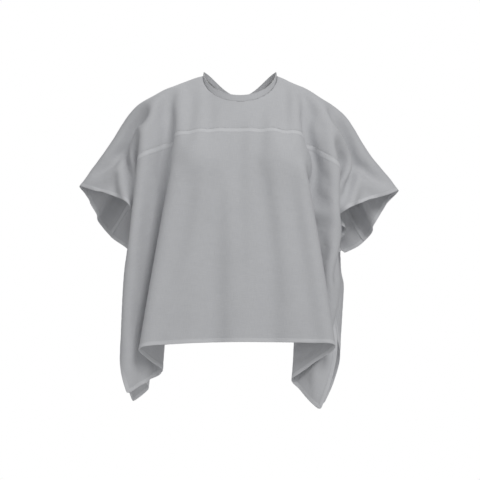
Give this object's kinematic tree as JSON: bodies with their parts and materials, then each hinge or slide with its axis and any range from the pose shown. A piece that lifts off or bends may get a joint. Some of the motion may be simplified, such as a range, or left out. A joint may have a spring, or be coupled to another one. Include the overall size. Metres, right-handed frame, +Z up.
{
  "type": "barber cape",
  "caption": "White cotton cape cut as a rectangle with a neck hole, a stitched yoke, a standing neckband and a closing tab with press studs at the nape.",
  "frame": {"origin": "middle of the neck opening, level with the neck seam at the sides of the neck", "axes": "+Z up, -Y towards the front of the cape, +X towards the sleeve at the right as seen from the front"},
  "size_m": [0.6438, 0.2788, 0.6607],
  "materials": {
    "cotton_cloth": "matt plain weave, pressed",
    "interlining": "stiff woven interlining",
    "plated_metal": "satin nickel plate"
  },
  "bodies": {
    "cape": {"yoke": "cotton_cloth", "front_panel": "cotton_cloth", "back_panel": "cotton_cloth", "neckband_outer": "cotton_cloth", "neckband_interlining": "interlining", "neckband_lining": "cotton_cloth", "tab_root": "cotton_cloth", "stud_knob": "plated_metal", "stud_eyelet": "plated_metal"},
    "closing_tab": {"tab_outer": "cotton_cloth", "tab_interlining": "interlining", "tab_lining": "cotton_cloth", "stud_cap": "plated_metal", "stud_socket": "plated_metal"}
  },
  "joints": [
    {"name": "tab_fold", "type": "hinge", "parent": "cape", "child": "closing_tab", "pos_m": [0.01487, 0.06344, -0.04051], "axis": [0.0216, 0.137, -0.9903], "range_deg": [0, 150]}
  ]
}
